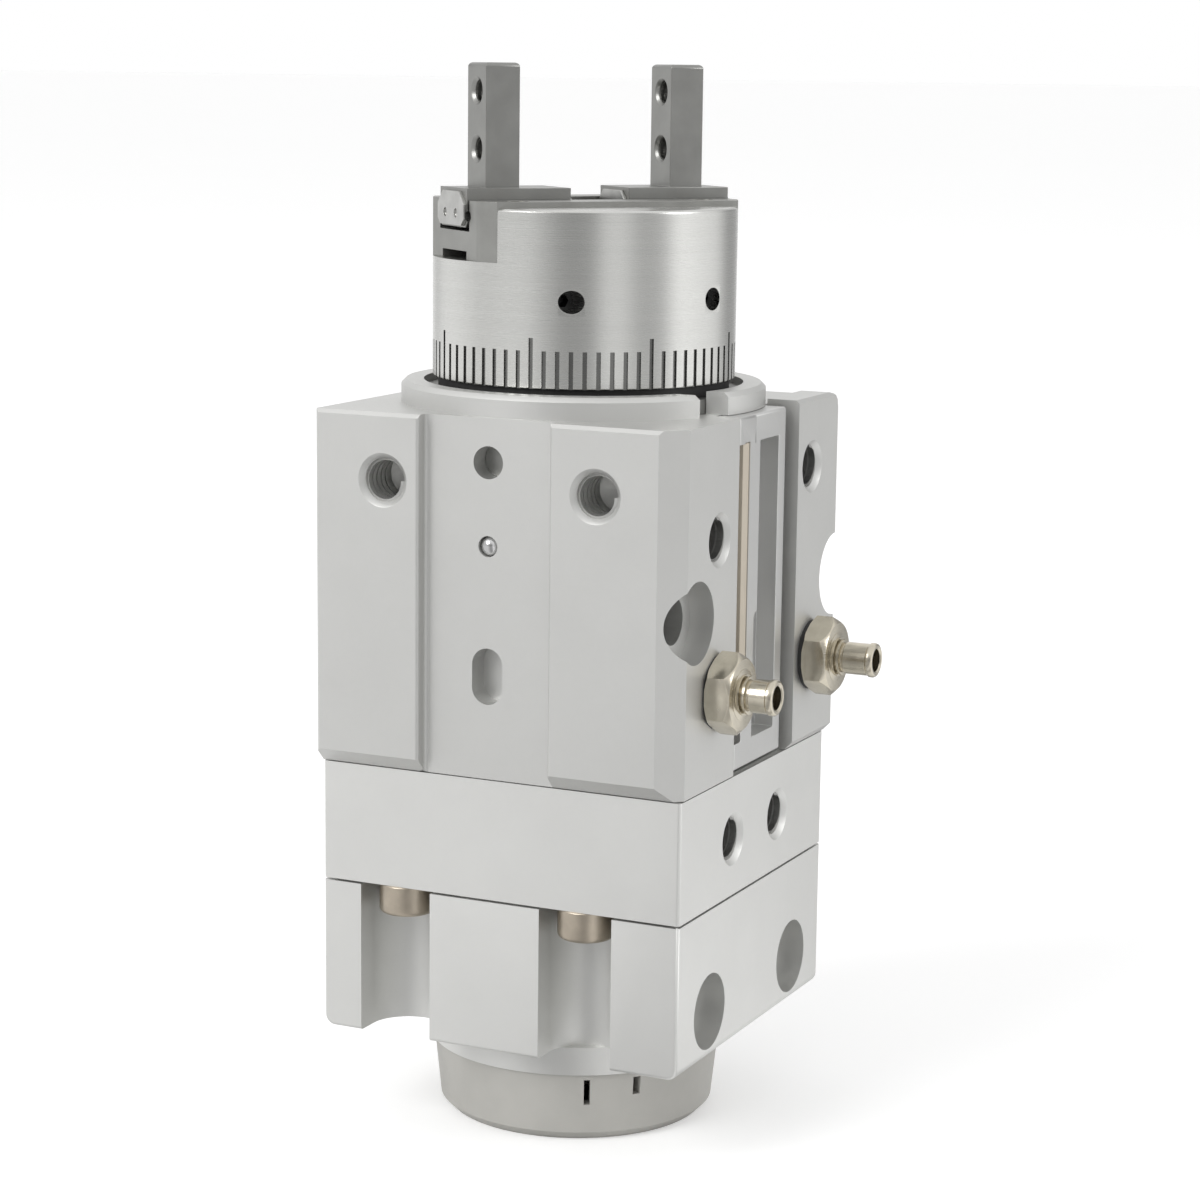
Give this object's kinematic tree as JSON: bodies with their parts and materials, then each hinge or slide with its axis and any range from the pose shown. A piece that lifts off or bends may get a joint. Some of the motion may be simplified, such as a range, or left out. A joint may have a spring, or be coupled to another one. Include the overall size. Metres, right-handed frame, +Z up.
{
  "type": "rotary gripper",
  "caption": "Pneumatic rotary gripper: stacked square aluminium blocks with a vane drive, a graduated turning head on top and two parallel steel fingers in its guide.",
  "frame": {"origin": "where the axis of rotation meets the flat underside of the bottom cap", "axes": "+Z up along the axis of rotation towards the fingers, -Y out of the front face with the two raised pads, +X out of the side face with the switch rail and the air fittings"},
  "size_m": [0.0452, 0.0374, 0.1035],
  "materials": {
    "body_aluminium": "bead-blasted and clear anodised",
    "head_aluminium": "finely turned and clear anodised",
    "rail_aluminium": "extruded, clear anodised",
    "finger_steel": "hardened and ground",
    "guide_steel": "hardened and ground",
    "bolt_steel": "zinc plated",
    "bearing_steel": "ground",
    "fitting_brass": "nickel plated",
    "cap_plastic": "moulded, fine grain",
    "seal_rubber": "matt black",
    "bush_bronze": "sintered",
    "magnet_alloy": "dull"
  },
  "bodies": {
    "body": {"main_body": "body_aluminium", "middle_block": "body_aluminium", "lower_block": "body_aluminium", "bottom_cap": "cap_plastic", "switch_rail": "rail_aluminium", "barb_fitting_near": "fitting_brass", "barb_fitting_far": "fitting_brass", "fitting_gaskets": "seal_rubber", "channel_ball": "bearing_steel", "clamp_bolts": "bolt_steel", "base_bolts": "bolt_steel", "bearing_cover": "bolt_steel", "head_seal": "seal_rubber", "sleeve_packings": "seal_rubber", "bearing_outer_ring": "bearing_steel", "vane_shoe": "body_aluminium", "lower_bush": "bush_bronze", "upper_bush": "bush_bronze"},
    "head": {"rotary_head": "head_aluminium", "rotor_sleeve": "finger_steel", "vane_shaft": "finger_steel", "vane_seal": "seal_rubber", "bearing_inner_ring": "bearing_steel", "signal_arm": "cap_plastic", "signal_magnet": "magnet_alloy", "rod_cover": "body_aluminium", "rod_packing": "seal_rubber", "snap_ring": "finger_steel", "lever_pins": "bearing_steel", "pin_plugs": "bolt_steel", "finger_guide": "guide_steel", "guide_screws": "bolt_steel"},
    "ball_set": {"bearing_balls": "bearing_steel"},
    "piston": {"jaw_piston": "body_aluminium", "piston_rod": "finger_steel", "piston_packing": "seal_rubber", "piston_magnet": "magnet_alloy", "piston_nut": "bolt_steel"},
    "lever_left": {"lever_left": "finger_steel"},
    "lever_right": {"lever_right": "finger_steel"},
    "finger_left": {"finger_left": "finger_steel", "end_plates_left": "bolt_steel"},
    "finger_right": {"finger_right": "finger_steel", "end_plates_right": "bolt_steel"},
    "guide_balls_left": {"guide_balls_left": "bearing_steel"},
    "guide_balls_right": {"guide_balls_right": "bearing_steel"}
  },
  "joints": [
    {"name": "head_turn", "type": "hinge", "parent": "body", "child": "head", "pos_m": [0, 0, 0.0738], "axis": [0, 0, 1], "range_deg": [-96, 84]},
    {"name": "ball_orbit", "type": "hinge", "parent": "body", "child": "ball_set", "pos_m": [0, 0, 0.0647], "axis": [0, 0, 1], "range_deg": [-44.84, 39.3]},
    {"name": "piston_travel", "type": "slide", "parent": "head", "child": "piston", "axis": [0, 0, 1], "range_m": [-0.00136, 0]},
    {"name": "jaw_left", "type": "slide", "parent": "head", "child": "finger_left", "axis": [-0.6293, -0.7771, 0], "range_m": [-0.002, 0]},
    {"name": "jaw_right", "type": "slide", "parent": "head", "child": "finger_right", "axis": [0.6293, 0.7771, 0], "range_m": [-0.002, 0]},
    {"name": "crank_left", "type": "hinge", "parent": "head", "child": "lever_left", "pos_m": [-0.00464, -0.00573, 0.0817], "axis": [0.7771, -0.6293, 0], "range_deg": [-16.44, 0]},
    {"name": "crank_right", "type": "hinge", "parent": "head", "child": "lever_right", "pos_m": [0.00464, 0.00573, 0.0817], "axis": [-0.7771, 0.6293, 0], "range_deg": [-16.44, 0]},
    {"name": "balls_left", "type": "slide", "parent": "head", "child": "guide_balls_left", "axis": [-0.6293, -0.7771, 0], "range_m": [-0.001, 0]},
    {"name": "balls_right", "type": "slide", "parent": "head", "child": "guide_balls_right", "axis": [0.6293, 0.7771, 0], "range_m": [-0.001, 0]}
  ],
  "couplings": [
    {"joint": "ball_orbit", "follows": "head_turn", "ratio": 0.4619},
    {"joint": "jaw_left", "follows": "piston_travel", "ratio": 1.4675},
    {"joint": "jaw_right", "follows": "piston_travel", "ratio": 1.4675},
    {"joint": "crank_left", "follows": "piston_travel", "rad_per_m": 210.36},
    {"joint": "crank_right", "follows": "piston_travel", "rad_per_m": 210.36},
    {"joint": "balls_left", "follows": "piston_travel", "ratio": 0.73375},
    {"joint": "balls_right", "follows": "piston_travel", "ratio": 0.73375}
  ]
}
